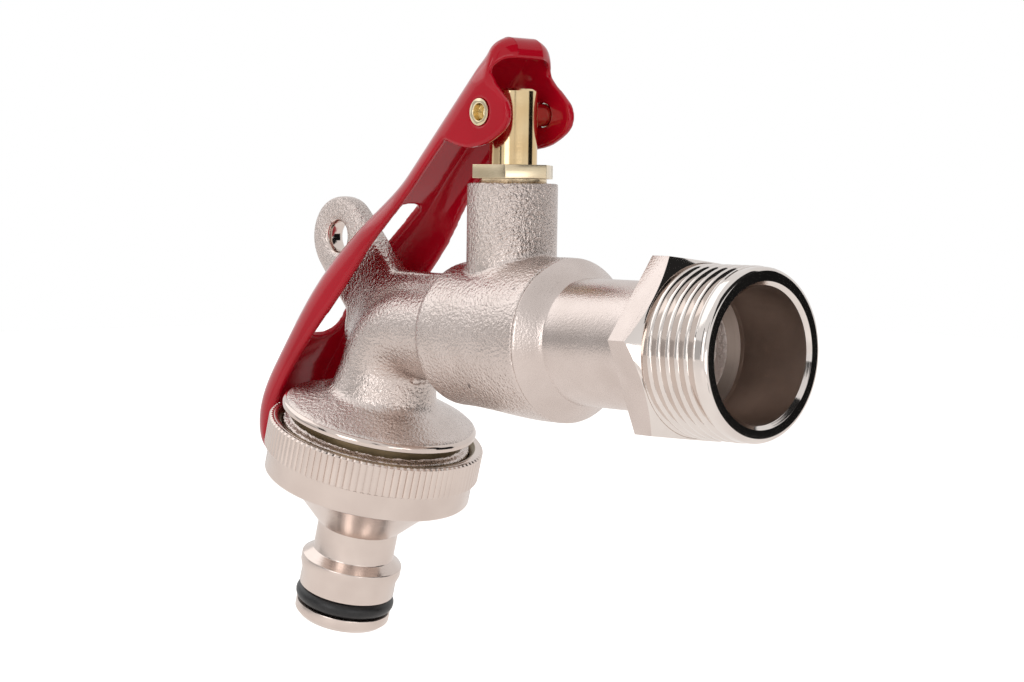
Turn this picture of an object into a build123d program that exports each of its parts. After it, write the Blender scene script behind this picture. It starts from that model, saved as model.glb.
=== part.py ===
from build123d import *
import math
import os

# Hose tap: a quarter-turn ball tap with a fold-down lever that shuts over a padlock lug.
# Millimetres. The pieces are drawn with the stem at the origin: +X runs out of the inlet
# along the pipe, +Z runs up the stem. They are written out with the origin moved to the
# middle of the hex's front face, where the inlet thread starts.

# Inlet connector
thread_diameter = 26.44
thread_length = 12.3
thread_end_chamfer = 1.1
hex_across_flats = 27.0
hex_thickness = 4.8
hex_turn = 23.33
neck_diameter = 20.3
stem_to_hex_back = 37.6
inlet_bore_diameter = 20.8
inlet_bore_depth = 14.7
inlet_bore_bevel = 0.4
inlet_port_diameter = 16.7
bevel_ring_length = 3.0
bevel_ring_foot = 21.8
neck_fillet = 0.9
plug_thread_height = 0.85
plug_gap = 0.1

# Valve body
stem_to_seam = 14.2
barrel_diameter = 26.6
barrel_rear_diameter = 24.2
barrel_rear_end = 11.0
barrel_rear_bevel = 1.4
barrel_flare_start = -2.4
barrel_flare_end = 3.4
chamber_clearance = 1.1
boss_diameter = 14.9
boss_top = 25.1
elbow_diameter = 16.8
elbow_bend = 9.6
outlet_offset = 29.0
outlet_tilt = 15.57
spout_diameter = 18.8
spout_tube_end = 12.4
spout_fillet = 2.2
rim_top = 15.5
rim_diameter = 33.3
rim_low = 17.05
rim_low_diameter = 34.3
spout_thread_diameter = 33.25
spout_thread_relief = 30.6
spout_thread_start = 19.2
spout_end = 26.4
spout_bore = 13.0

# Padlock lug and the rib that carries it over the elbow
lug_thickness = 4.3
lug_width = 14.4
lug_reach = 43.6
lug_height = 15.5
lug_rise = 46.0
lug_root = 22.0
lug_hole_diameter = 5.5
rib_proud = 1.3
rib_wrap = 58.0
lug_edge_round = 0.8

# Ball, seats and stem
ball_diameter = 18.4
port_diameter = 11.6
seat_inset = 0.4
seat_reach = 0.7
seat_thickness = 3.6
seat_clearance = 0.1
stem_diameter = 7.9
stem_over_pivot = 3.95
stem_chamfer = 0.35
stem_fit = 0.06
collar_diameter = 10.0
collar_rise = 1.4
collar_thickness = 1.7
collar_clearance = 0.3
washer_thickness = 0.65
washer_gap = 0.05
ledge_thickness = 3.4
packing_height = 3.4
tongue_width = 3.6
tongue_depth = 2.3
tongue_clearance = 0.12
tongue_end_gap = 0.4

# Gland nut
gland_thread_diameter = 11.2
gland_thread_clearance = 0.04
gland_hex_across_flats = 12.2
gland_hex_turn = 7.6
gland_hex_bottom = 25.84
gland_hex_top = 28.08

# Lever, pressed from sheet, and its hollow rivet
sheet = 1.3
lever_width = 15.4
grip_width = 18.8
flare_start = 28.0
flare_end = 45.0
bend_radius = 2.4
pivot_height = 36.45
ear_centre = (3.2, 36.1)
ear_radius = 3.4
ear_from = -55.0
ear_to = 44.0
hood_centre = (1.2, 46.1)
hood_radius = 2.7
lip_drop = 1.0
brow_foot = (1.8, 42.15)
lip_notch = (0.5, 43.6)
back_shoulder = (-21.4, 26.8)
back_middle = (-42.0, 9.4)
back_knee = (-53.7, -4.7)
back_low = (-60.0, -18.5)
tip = (-57.1, -24.6)
tip_tangent = (1, -0.5)
ear_under = [(-5.6, 31.1), (-3.2, 30.7), (-0.8, 30.9), (1.6, 31.45), (3.4, 32.25)]
edge_notch = (-8.8, 32.2)
edge_upper = (-19.8, 21.2)
edge_middle = (-33.6, 6.3)
edge_knee = (-44.9, -5.1)
edge_low = (-52.3, -15.4)
edge_tip = (-55.0, -22.6)
slot_upper = (-25.3, 21.0)
slot_lower = (-50.2, -3.2)
slot_upper_width = 5.6
slot_lower_width = 7.8
slot_upper_round = 2.2
slot_lower_round = 3.5
rivet_diameter = 3.8
rivet_head_diameter = 4.5
rivet_hollow_diameter = 2.8
rivet_hollow_depth = 2.4
rivet_proud = 0.1
rivet_fit = 0.06
rivet_head_depth = 1.0

# Hose adaptor: knurled collar and quick-coupling nose
collar_start = 19.0
knurl_diameter = 38.2
knurl_end = 24.66
band_end = 29.15
band_diameter = 36.6
collar_mouth_chamfer = 1.0
collar_edge = 0.4
collar_thread_clearance = 0.1
gasket_thickness = 2.0
gasket_inner_diameter = 18.0
underside_diameter = 28.8
underside_depth = 0.4
nose_neck_diameter = 14.4
nose_cone_end = 37.1
nose_neck_end = 42.16
retainer_peak = 43.44
retainer_diameter = 17.94
retainer_land = 1.5
nose_diameter = 17.0
retainer_foot = 46.4
o_ring_cord = 2.9
o_ring_middle = 50.65
o_ring_outer_diameter = 17.7
o_ring_side_clearance = 0.1
o_ring_floor_clearance = 0.02
nose_end = 54.76
nose_end_round = 0.9
nose_bore_diameter = 9.2

# How near two edges count as one where an edge is picked for rounding
same_place = 0.02

hex_front = stem_to_hex_back + hex_thickness
inlet_end = hex_front + thread_length
place = Pos(-hex_front, 0, 0)

tilt = math.radians(outlet_tilt)
outlet_direction = Vector(-math.sin(tilt), 0, -math.cos(tilt))
outlet = Plane(origin=(-outlet_offset, 0, 0), x_dir=(0, 1, 0), z_dir=outlet_direction)
elbow_turn = 90 - outlet_tilt
elbow_tangent = elbow_bend * math.tan(math.radians(elbow_turn / 2))
elbow_start = -outlet_offset + elbow_tangent

ball_radius = ball_diameter / 2
chamber_diameter = ball_diameter + 2 * chamber_clearance
plug_diameter = chamber_diameter + 2 * plug_thread_height
seat_outer_diameter = ball_diameter - 2 * seat_inset
seat_depth = ball_radius - seat_reach
seat_face = seat_depth - seat_thickness
plug_end = seat_face + plug_gap
collar_bottom = ball_radius + collar_rise
collar_top = collar_bottom + collar_thickness
tongue_bottom = ball_radius - tongue_depth
tongue_length = 2 * (seat_face - tongue_end_gap)
stem_top = pivot_height + stem_over_pivot
ledge_bottom = collar_top + washer_gap + washer_thickness
packing_bottom = ledge_bottom + ledge_thickness
gland_bottom = packing_bottom + packing_height
gasket_top = spout_end
collar_floor = gasket_top + gasket_thickness
hex_circle = 2 / math.sqrt(3)
lip = (hood_centre[0] + hood_radius, hood_centre[1] - lip_drop)


def turned(points):
    """A solid turned about Z from its (radius, height) outline."""
    outline = Polyline(*[(radius, 0, height) for radius, height in points], close=True)
    return revolve(make_face(outline), Axis.Z)


def on_pipe(shape):
    """Lay a solid turned about Z along +X."""
    return Rot(0, 90, 0) * shape


def on_outlet(shape):
    """Lay a solid turned about Z along the outlet's axis."""
    return outlet.location * shape


def pipe_cylinder(diameter, start, end):
    return Pos((start + end) / 2, 0, 0) * Rot(0, 90, 0) * Cylinder(diameter / 2, end - start)


def upright_cylinder(diameter, bottom, top):
    return Pos(0, 0, (bottom + top) / 2) * Cylinder(diameter / 2, top - bottom)


def upright_hexagon(across_flats, bottom, top, turn):
    flat = RegularPolygon(across_flats / 2, 6, major_radius=False, rotation=turn)
    return Pos(0, 0, bottom) * extrude(flat, top - bottom)


def side_plate(face, half_width):
    """A plate with its middle in the plane of symmetry."""
    return extrude(Plane.XZ * face, half_width, both=True)


def barrel():
    rear_radius = barrel_rear_diameter / 2
    radius = barrel_diameter / 2
    return on_pipe(turned([
        (0, -barrel_rear_end),
        (rear_radius - barrel_rear_bevel / 2, -barrel_rear_end),
        (rear_radius, -barrel_rear_end + barrel_rear_bevel),
        (rear_radius, barrel_flare_start),
        (radius, barrel_flare_end),
        (radius, stem_to_seam),
        (0, stem_to_seam),
    ]))


def elbow():
    run = pipe_cylinder(elbow_diameter, elbow_start, -barrel_rear_end / 2)
    start = Plane(origin=(elbow_start, 0, 0), x_dir=(0, 1, 0), z_dir=(-1, 0, 0))
    bend_axis = Axis((elbow_start, 0, -elbow_bend), (0, -1, 0))
    bend = revolve(start * Circle(elbow_diameter / 2), bend_axis, elbow_turn)
    return run + bend


def spout():
    tube_radius = spout_diameter / 2
    turning = turned([
        (0, elbow_tangent),
        (elbow_diameter / 2, elbow_tangent),
        (tube_radius, spout_tube_end),
        (rim_diameter / 2, rim_top),
        (rim_low_diameter / 2, rim_low),
        (spout_thread_relief / 2, rim_low),
        (spout_thread_relief / 2, spout_thread_start),
        (spout_thread_diameter / 2, spout_thread_start),
        (spout_thread_diameter / 2, spout_end),
        (0, spout_end),
    ])
    foot = [edge for edge in turning.edges().filter_by(GeomType.CIRCLE)
            if abs(edge.radius - tube_radius) < same_place]
    return on_outlet(fillet(foot, spout_fillet))


def lug_outline():
    """The lug's strip, round at its end, running back into the elbow."""
    middle = Pos(-lug_reach, lug_height)
    strip = Rot(0, 0, -lug_rise) * Pos(lug_root / 2, 0) * Rectangle(lug_root, lug_width)
    return middle * (Circle(lug_width / 2) + strip)


def rib_outline():
    """A band that stands proud of the elbow, over its top and round its outer side."""
    reach = elbow_diameter / 2 + rib_proud
    top = Pos((elbow_start - barrel_rear_end / 2) / 2, reach / 2) * Rectangle(
        -barrel_rear_end / 2 - elbow_start, reach)
    centre = (elbow_start, -elbow_bend)
    outer = elbow_bend + reach
    wrap = math.radians(rib_wrap)
    low = (centre[0] - outer * math.sin(wrap), centre[1] + outer * math.cos(wrap))
    fan = make_face(
        Line(centre, (centre[0], centre[1] + outer))
        + CenterArc(centre, outer, 90, rib_wrap)
        + Line(low, centre))
    return top + fan


def rounded_plate(face, edges_from):
    """A plate in the plane of symmetry with its rim rounded where the rim stands free."""
    plate = side_plate(face, lug_thickness / 2)
    rim = [edge for edge in plate.edges()
           if edge.bounding_box().size.Y < same_place and edges_from(edge.center())]
    return fillet(rim, lug_edge_round)


def padlock_lug():
    strip_end = Vector(-lug_reach, 0, lug_height) + Vector(1, 0, -1) * (lug_root / 2)
    lug = rounded_plate(lug_outline(), lambda centre: centre.X < strip_end.X)
    reach = elbow_diameter / 2 + rib_proud
    rib = rounded_plate(rib_outline(), lambda centre: centre.Z > reach / 2)
    return lug + rib


def valve_body():
    forging = barrel() + upright_cylinder(boss_diameter, 0, boss_top)
    forging = forging + elbow() + spout() + padlock_lug()
    chamber = pipe_cylinder(chamber_diameter, -seat_face, stem_to_seam)
    chamber += pipe_cylinder(plug_diameter, plug_end, stem_to_seam)
    seat_pocket = pipe_cylinder(seat_outer_diameter, -seat_depth, 0)
    port = pipe_cylinder(port_diameter, elbow_start, 0)
    start = Plane(origin=(elbow_start, 0, 0), x_dir=(0, 1, 0), z_dir=(-1, 0, 0))
    bend_axis = Axis((elbow_start, 0, -elbow_bend), (0, -1, 0))
    bend = revolve(start * Circle(port_diameter / 2), bend_axis, elbow_turn)
    outflow = on_outlet(turned([
        (0, elbow_tangent),
        (port_diameter / 2, elbow_tangent),
        (spout_bore / 2, spout_tube_end),
        (spout_bore / 2, spout_end),
        (0, spout_end),
    ]))
    collar_room = upright_cylinder(collar_diameter + 2 * collar_clearance, 0, ledge_bottom)
    stem_hole = upright_cylinder(stem_diameter + 2 * stem_fit, 0, boss_top)
    gland_hole = upright_cylinder(
        gland_thread_diameter + 2 * gland_thread_clearance, packing_bottom, boss_top)
    hole = Pos(-lug_reach, 0, lug_height) * Rot(90, 0, 0) * Cylinder(
        lug_hole_diameter / 2, 2 * lug_thickness)
    return (forging - chamber - seat_pocket - port - bend - outflow
            - collar_room - stem_hole - gland_hole - hole)


def inlet_connector():
    radius = thread_diameter / 2
    turning = on_pipe(turned([
        (0, plug_end),
        (plug_diameter / 2 - gland_thread_clearance, plug_end),
        (plug_diameter / 2 - gland_thread_clearance, stem_to_seam),
        (barrel_diameter / 2, stem_to_seam),
        (bevel_ring_foot / 2, stem_to_seam + bevel_ring_length),
        (neck_diameter / 2, stem_to_seam + bevel_ring_length + neck_fillet),
        (neck_diameter / 2, hex_front),
        (radius, hex_front),
        (radius, inlet_end - thread_end_chamfer),
        (radius - thread_end_chamfer, inlet_end),
        (0, inlet_end),
    ]))
    blank = on_pipe(upright_hexagon(hex_across_flats, stem_to_hex_back, hex_front, hex_turn))
    corner = hex_across_flats * hex_circle / 2
    chamfer_run = (corner - radius) * math.tan(math.radians(30))
    envelope = on_pipe(turned([
        (0, stem_to_hex_back),
        (corner, stem_to_hex_back),
        (corner, hex_front - chamfer_run),
        (radius, hex_front),
        (0, hex_front),
    ]))
    port = inlet_port_diameter / 2
    shoulder = inlet_end - inlet_bore_depth
    bore = inlet_bore_diameter / 2
    seat = seat_outer_diameter / 2
    waterway = on_pipe(turned([
        (0, plug_end),
        (seat, plug_end),
        (seat, seat_depth),
        (port_diameter / 2, seat_depth),
        (port_diameter / 2, stem_to_seam - bevel_ring_length / 2),
        (port, stem_to_seam + bevel_ring_length),
        (port, shoulder),
        (bore, shoulder + (bore - port) / 2),
        (bore, inlet_end - inlet_bore_bevel),
        (bore + inlet_bore_bevel, inlet_end),
        (0, inlet_end),
    ]))
    return turning + (blank & envelope) - waterway


def ball():
    sphere = Sphere(ball_radius)
    port = Rot(90, 0, 0) * Cylinder(port_diameter / 2, ball_diameter)
    slot_height = tongue_depth + tongue_clearance
    slot = Pos(0, 0, ball_radius - slot_height / 2) * Box(
        ball_diameter, tongue_width + 2 * tongue_clearance, slot_height)
    return sphere - port - slot


def seat(side):
    """A ring with a hollow face that follows the ball."""
    bore = port_diameter / 2
    outer = seat_outer_diameter / 2
    hollow = ball_radius + seat_clearance
    bore_edge = math.asin(bore / hollow)
    face_edge = math.acos(seat_face / hollow)
    arc = [(hollow * math.sin(angle), 0, hollow * math.cos(angle))
           for angle in (bore_edge, (bore_edge + face_edge) / 2, face_edge)]
    rest = Polyline(arc[2], (outer, 0, seat_face), (outer, 0, seat_depth), (bore, 0, seat_depth), arc[0])
    ring = on_pipe(revolve(make_face(rest + ThreePointArc(*arc)), Axis.Z))
    return ring if side > 0 else Rot(0, 0, 180) * ring


def stem():
    shank = upright_cylinder(stem_diameter, collar_bottom, stem_top)
    shank = chamfer(shank.edges().group_by(Axis.Z)[-1], stem_chamfer)
    shank += upright_cylinder(collar_diameter, collar_bottom, collar_top)
    tongue = upright_cylinder(collar_diameter, tongue_bottom, collar_bottom)
    tongue &= Box(tongue_length, tongue_width, 4 * collar_top)
    hole = Pos(0, 0, pivot_height) * Rot(90, 0, 0) * Cylinder(
        rivet_diameter / 2 + rivet_fit, 2 * stem_diameter)
    return shank + tongue - hole


def stem_ring(outer_diameter, bottom, top):
    ring = upright_cylinder(outer_diameter, bottom, top)
    return ring - upright_cylinder(stem_diameter + 2 * stem_fit, bottom, top)


def gland_nut():
    nut = upright_hexagon(gland_hex_across_flats, gland_hex_bottom, gland_hex_top, gland_hex_turn)
    nut += upright_cylinder(gland_thread_diameter, gland_bottom, gland_hex_bottom)
    return nut - upright_cylinder(stem_diameter + 2 * stem_fit, gland_bottom, gland_hex_top)


def rivet_turning(clearance):
    """Half of the rivet along +Z: its shank and its flared head."""
    end = lever_width / 2 + rivet_proud
    shank = rivet_diameter / 2 + clearance
    head = rivet_head_diameter / 2 + clearance
    return turned([(0, 0), (shank, 0), (shank, end - rivet_head_depth), (head, end), (0, end)])


def across_pivot(half):
    whole = Rot(90, 0, 0) * half + Rot(-90, 0, 0) * half
    return Pos(0, 0, pivot_height) * whole


def lever_rivet():
    end = lever_width / 2 + rivet_proud
    half = rivet_turning(0)
    half -= Pos(0, 0, end - rivet_hollow_depth / 2) * Cylinder(
        rivet_hollow_diameter / 2, rivet_hollow_depth)
    return across_pivot(half)


def lever_back(inset):
    """The lever's back in side view: over the hood, straight down, then round the grip."""
    span = (back_shoulder[0] - hood_centre[0], back_shoulder[1] - hood_centre[1])
    leave = math.atan2(span[1], span[0]) % (2 * math.pi) - math.acos(hood_radius / math.hypot(*span))
    outward = Vector(math.cos(leave), math.sin(leave))
    straight = outward.rotate(Axis.Z, 90)
    grip_points = [back_shoulder, back_middle, back_knee, back_low, tip]
    grip = Spline(*grip_points, tangents=(straight, tip_tangent))
    inner_points = []
    for point in grip_points:
        along = grip.tangent_at(grip.param_at_point(point))
        inner_points.append(Vector(*point) + along.rotate(Axis.Z, 90) * inset)
    radius = hood_radius - inset
    curl = CenterArc(hood_centre, radius, 0, math.degrees(leave))
    slope = Line(Vector(*hood_centre) + outward * radius, inner_points[0])
    grip = Spline(*inner_points, tangents=(straight, tip_tangent))
    return [*curl.edges(), *slope.edges(), *grip.edges()]


def lever_edge():
    """The flanges' free edge in side view, from the tip up to the ear, round it and to the lip."""
    toe = Line(tip, edge_tip)
    free = Spline(edge_tip, edge_low, edge_knee, edge_middle, edge_upper, edge_notch)
    lobe = CenterArc(ear_centre, ear_radius, ear_from, ear_to - ear_from)
    arriving = lobe % 0
    under = Spline(edge_notch, *ear_under, lobe @ 0, tangents=((1, -0.5), (arriving.X, arriving.Y)))
    rise = Line(lobe @ 1, brow_foot)
    inner_lip = (lip[0] - sheet, lip[1])
    climb = rise % 1
    brow = Spline(brow_foot, lip_notch, inner_lip, tangents=((climb.X, climb.Y), (1, 0.6)))
    front = Line(inner_lip, lip)
    pieces = [toe, free, under, lobe, rise, brow, front]
    return [edge for piece in pieces for edge in piece.edges()]


def lever_plan(inset):
    """The lever's outline seen square to its back: parallel at the ears, wider at the grip."""
    narrow = lever_width / 2 - inset
    wide = grip_width / 2 - inset
    length = math.hypot(tip[0] - hood_centre[0], tip[1] - hood_centre[1]) + grip_width
    half = [Line((-grip_width, 0), (-grip_width, narrow)),
            Line((-grip_width, narrow), (flare_start, narrow)),
            Spline((flare_start, narrow), (flare_end, wide), tangents=((1, 0), (1, 0))),
            Line((flare_end, wide), (length, wide)),
            Line((length, wide), (length, 0)),
            Line((length, 0), (-grip_width, 0))]
    face = make_face(Wire([edge for piece in half for edge in piece.edges()]))
    return face + mirror(face, Plane.XZ)


def square_to_back(point, towards):
    """A plane on the lever's back with its X axis along the lever, from one point to another."""
    along = Vector(towards[0] - point[0], 0, towards[1] - point[1]).normalized()
    return Plane(origin=(point[0], 0, point[1]), x_dir=along, z_dir=along.cross(Vector(0, 1, 0)))


def channel_form(inset, bend):
    """A solid bar with the lever's back and sides, run on past both ends and bent at its corners."""
    back = lever_back(inset)
    start, finish = back[0] @ 0, back[-1] @ 1
    upper = start - Vector(0, sheet + lip_drop)
    lower = finish + Vector(*tip_tangent).normalized() * grip_width
    far = upper.X + lever_width
    line = Wire([*Line(upper, start).edges(), *back, *Line(finish, lower).edges()])
    closing = Polyline(lower, (far, lower.Y), (far, upper.Y), upper)
    plan = square_to_back(hood_centre, tip) * lever_plan(inset)
    bar = side_plate(make_face(Wire([*line.edges(), *closing.edges()])), grip_width)
    bar &= extrude(plan, 2 * lever_width + grip_width, both=True)
    return fillet([edge for edge in bar.edges() if on_back(edge, line)], bend)


def lever_slot():
    length = math.hypot(slot_lower[0] - slot_upper[0], slot_lower[1] - slot_upper[1])
    upper, lower = slot_upper_width / 2, slot_lower_width / 2
    outline = make_face(Polyline((0, -upper), (length, -lower), (length, lower), (0, upper), close=True))
    outline = fillet(outline.vertices().group_by(Axis.X)[0], slot_upper_round)
    outline = fillet(outline.vertices().group_by(Axis.X)[-1], slot_lower_round)
    return extrude(square_to_back(slot_upper, slot_lower) * outline, 3 * sheet, both=True)


def on_back(edge, line):
    """True where an edge of the bar runs along the lever's back."""
    checks = [edge @ at for at in (0.1, 0.5, 0.9)]
    return all(abs(p.Y) > sheet and line.distance_to(Vertex(p.X, p.Z, 0)) < same_place for p in checks)


def lever_side():
    """All that lies behind the flanges' free edge in side view."""
    right, left = lip[0] + lever_width, back_low[0] - lever_width
    top, bottom = lip[1] + lever_width, tip[1] - lever_width
    around = Polyline(lip, (right, lip[1]), (right, top), (left, top), (left, bottom), tip)
    return make_face(Wire([*lever_edge(), *around.edges()]))


def lever():
    outside = channel_form(0, bend_radius) & side_plate(lever_side(), grip_width)
    channel = outside - channel_form(sheet, bend_radius - sheet)
    return channel - lever_slot() - across_pivot(rivet_turning(rivet_fit))


def hose_adaptor():
    """The collar, its plain band and the cone that carries the nose."""
    thread = spout_thread_diameter / 2 + collar_thread_clearance
    knurl = knurl_diameter / 2
    band = band_diameter / 2
    return on_outlet(turned([
        (thread, collar_floor),
        (thread, collar_start + collar_mouth_chamfer),
        (thread + collar_mouth_chamfer, collar_start),
        (knurl - collar_edge, collar_start),
        (knurl, collar_start + collar_edge),
        (knurl, knurl_end),
        (band, knurl_end),
        (band, band_end - collar_edge),
        (band - collar_edge, band_end),
        (underside_diameter / 2, band_end + underside_depth),
        (nose_neck_diameter / 2, nose_cone_end),
        (nose_bore_diameter / 2, nose_cone_end),
        (nose_bore_diameter / 2, collar_floor),
    ]))


def adaptor_nose():
    """The neck, the retaining ring and the grooved end that a hose coupling takes."""
    neck = nose_neck_diameter / 2
    retainer = retainer_diameter / 2
    nose = nose_diameter / 2
    bore = nose_bore_diameter / 2
    groove_half = o_ring_cord / 2 + o_ring_side_clearance
    groove_floor = o_ring_outer_diameter / 2 - o_ring_cord - o_ring_floor_clearance
    return on_outlet(turned([
        (bore, nose_cone_end),
        (neck, nose_cone_end),
        (neck, nose_neck_end),
        (retainer, retainer_peak),
        (retainer, retainer_peak + retainer_land),
        (nose, retainer_foot),
        (nose, o_ring_middle - groove_half),
        (groove_floor, o_ring_middle - groove_half),
        (groove_floor, o_ring_middle + groove_half),
        (nose, o_ring_middle + groove_half),
        (nose, nose_end - nose_end_round),
        (nose - nose_end_round, nose_end),
        (bore, nose_end),
    ]))


def adaptor_gasket():
    outer = spout_thread_diameter / 2
    inner = gasket_inner_diameter / 2
    return on_outlet(turned([
        (inner, gasket_top), (outer, gasket_top), (outer, collar_floor), (inner, collar_floor)]))


def spigot_o_ring():
    middle = (o_ring_outer_diameter - o_ring_cord) / 2
    return on_outlet(Pos(0, 0, o_ring_middle) * Torus(middle, o_ring_cord / 2))


nodes = {
    "valve_body": valve_body,
    "inlet_connector": inlet_connector,
    "ball": ball,
    "inlet_seat": lambda: seat(1),
    "outlet_seat": lambda: seat(-1),
    "stem": stem,
    "thrust_washer": lambda: stem_ring(collar_diameter, ledge_bottom - washer_thickness, ledge_bottom),
    "stem_packing": lambda: stem_ring(gland_thread_diameter, packing_bottom, gland_bottom),
    "gland_nut": gland_nut,
    "lever_rivet": lever_rivet,
    "lever": lever,
    "hose_adaptor": hose_adaptor,
    "adaptor_nose": adaptor_nose,
    "adaptor_gasket": adaptor_gasket,
    "spigot_o_ring": spigot_o_ring,
}

os.makedirs("parts", exist_ok=True)
for name, make in nodes.items():
    export_step(place * make(), f"parts/{name}.step")
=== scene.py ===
import bpy
from math import sin, cos, pi, radians, hypot, atan2
from mathutils import Vector, Matrix
from mathutils.kdtree import KDTree


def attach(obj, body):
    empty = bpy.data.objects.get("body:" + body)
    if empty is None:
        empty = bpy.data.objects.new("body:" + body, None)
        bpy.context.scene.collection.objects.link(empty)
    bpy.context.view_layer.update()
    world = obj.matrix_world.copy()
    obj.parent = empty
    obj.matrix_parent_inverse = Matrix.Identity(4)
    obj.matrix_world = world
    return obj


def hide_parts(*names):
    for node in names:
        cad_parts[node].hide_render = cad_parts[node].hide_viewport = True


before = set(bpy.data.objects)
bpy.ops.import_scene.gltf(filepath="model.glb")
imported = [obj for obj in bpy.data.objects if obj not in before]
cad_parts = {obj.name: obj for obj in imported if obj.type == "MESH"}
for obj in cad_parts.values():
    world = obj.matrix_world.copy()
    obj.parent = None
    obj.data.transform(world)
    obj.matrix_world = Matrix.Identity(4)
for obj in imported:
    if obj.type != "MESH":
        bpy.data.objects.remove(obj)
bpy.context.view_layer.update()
mm = 0.001
pipeAxis = Vector((1, 0, 0))
upAxis = Vector((0, 0, 1))
stemFoot = Vector((-42.4, 0, 0)) * mm
outletTop = Vector((-71.4, 0, 0)) * mm
outletTilt = radians(15.57)
outletAxis = Vector((-sin(outletTilt), 0, -cos(outletTilt)))
outletSide = Vector((cos(outletTilt), 0, -sin(outletTilt)))
outletFar = outletAxis.cross(outletSide)


# materials: each reads Object coordinates, in metres

def newMaterial(name):
    made = bpy.data.materials.new(name)
    made.use_nodes = True
    tree = made.node_tree
    return made, tree, tree.nodes["Principled BSDF"]


def addNode(tree, kind, **settings):
    node = tree.nodes.new(kind)
    for key, value in settings.items():
        setattr(node, key, value)
    return node


def noiseOn(tree, vector, scale, detail=2.0, rough=0.5):
    noise = addNode(tree, "ShaderNodeTexNoise")
    noise.inputs["Scale"].default_value = scale
    noise.inputs["Detail"].default_value = detail
    noise.inputs["Roughness"].default_value = rough
    tree.links.new(vector, noise.inputs["Vector"])
    return noise


def rampOn(tree, value, stops):
    ramp = addNode(tree, "ShaderNodeValToRGB")
    first, last = ramp.color_ramp.elements
    first.position, first.color = stops[0][0], (*stops[0][1], 1)
    last.position, last.color = stops[-1][0], (*stops[-1][1], 1)
    for place, colour in stops[1:-1]:
        ramp.color_ramp.elements.new(place).color = (*colour, 1)
    tree.links.new(value, ramp.inputs["Fac"])
    return ramp


def rangeOn(tree, value, low, high):
    spread = addNode(tree, "ShaderNodeMapRange")
    spread.inputs["To Min"].default_value = low
    spread.inputs["To Max"].default_value = high
    tree.links.new(value, spread.inputs["Value"])
    return spread.outputs["Result"]


def bumpOn(tree, height, strength, distance, under=None):
    bump = addNode(tree, "ShaderNodeBump")
    bump.inputs["Strength"].default_value = strength
    bump.inputs["Distance"].default_value = distance
    tree.links.new(height, bump.inputs["Height"])
    if under is not None:
        tree.links.new(under.outputs["Normal"], bump.inputs["Normal"])
    return bump


def multiplied(tree, under, over):
    blend = addNode(tree, "ShaderNodeMix", data_type="RGBA", blend_type="MULTIPLY")
    blend.inputs["Factor"].default_value = 1
    tree.links.new(under, blend.inputs["A"])
    tree.links.new(over, blend.inputs["B"])
    return blend.outputs["Result"]


def objectCoords(tree):
    return addNode(tree, "ShaderNodeTexCoord").outputs["Object"]


blastedLook = {"dark": (0.62, 0.535, 0.495), "light": (0.7, 0.61, 0.57), "grain": 1900, "relief": 0.0006,
               "smooth": 0.2, "rough": 0.32, "dents": 1350, "dentDepth": 0.00008, "heavyFrom": 0.011, "heavyTo": 0.017,
               "lightGrain": 0.4, "marks": []}


def blastedNickel(name, look):
    # shot-blasted skin: fine peened grain, a few larger dents and faint scuffs
    made, tree, shader = newMaterial(name)
    coords = objectCoords(tree)
    grain = noiseOn(tree, coords, look["grain"], 2.0, 0.55)
    dents = noiseOn(tree, coords, look["dents"], 1.5)
    cloud = noiseOn(tree, coords, 160, 3)
    scuff = noiseOn(tree, coords, 95, 4, 0.7)
    tone = rampOn(tree, cloud.outputs["Fac"], [(0.3, look["dark"]), (0.7, look["light"])])
    scuffed = rampOn(tree, scuff.outputs["Fac"], [(0.7, (1, 1, 1)), (0.82, (0.45, 0.42, 0.4))])
    stained = multiplied(tree, tone.outputs["Color"], scuffed.outputs["Color"])
    for mark in look["marks"]:
        gap = addNode(tree, "ShaderNodeVectorMath", operation="DISTANCE")
        gap.inputs[1].default_value = [v * mm for v in mark["at"]]
        tree.links.new(coords, gap.inputs[0])
        broken = addNode(tree, "ShaderNodeMath", operation="MULTIPLY_ADD")
        broken.inputs[1].default_value = mark["size"] * mm * 1.6
        tree.links.new(dents.outputs["Fac"], broken.inputs[0])
        tree.links.new(gap.outputs["Value"], broken.inputs[2])
        spot = addNode(tree, "ShaderNodeMapRange")
        spot.inputs["From Min"].default_value = mark["size"] * mm * 1.2
        spot.inputs["From Max"].default_value = mark["size"] * mm * 1.7
        tree.links.new(broken.outputs["Value"], spot.inputs["Value"])
        shade = rampOn(tree, spot.outputs["Result"], [(0.0, (0.3, 0.29, 0.29)), (1.0, (1, 1, 1))])
        stained = multiplied(tree, stained, shade.outputs["Color"])
    coarse = bumpOn(tree, dents.outputs["Fac"], 0.6, look["dentDepth"])
    bump = bumpOn(tree, grain.outputs["Fac"], 1.0, look["relief"], coarse)
    height = addNode(tree, "ShaderNodeSeparateXYZ")  # the boss and the lug were blasted harder than the pipe
    tree.links.new(coords, height.inputs["Vector"])
    harder = addNode(tree, "ShaderNodeMapRange")
    harder.inputs["From Min"].default_value = look["heavyFrom"]
    harder.inputs["From Max"].default_value = look["heavyTo"]
    harder.inputs["To Min"].default_value = look["lightGrain"]
    tree.links.new(height.outputs["Z"], harder.inputs["Value"])
    tree.links.new(harder.outputs["Result"], bump.inputs["Strength"])
    tree.links.new(stained, shader.inputs["Base Color"])
    tree.links.new(rangeOn(tree, grain.outputs["Fac"], look["smooth"], look["rough"]), shader.inputs["Roughness"])
    tree.links.new(bump.outputs["Normal"], shader.inputs["Normal"])
    shader.inputs["Metallic"].default_value = 1
    return made


turnedLook = {"dark": (0.66, 0.56, 0.51), "light": (0.74, 0.64, 0.585), "lines": 5200, "relief": 0.000014,
              "smooth": 0.15, "rough": 0.27}


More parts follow.
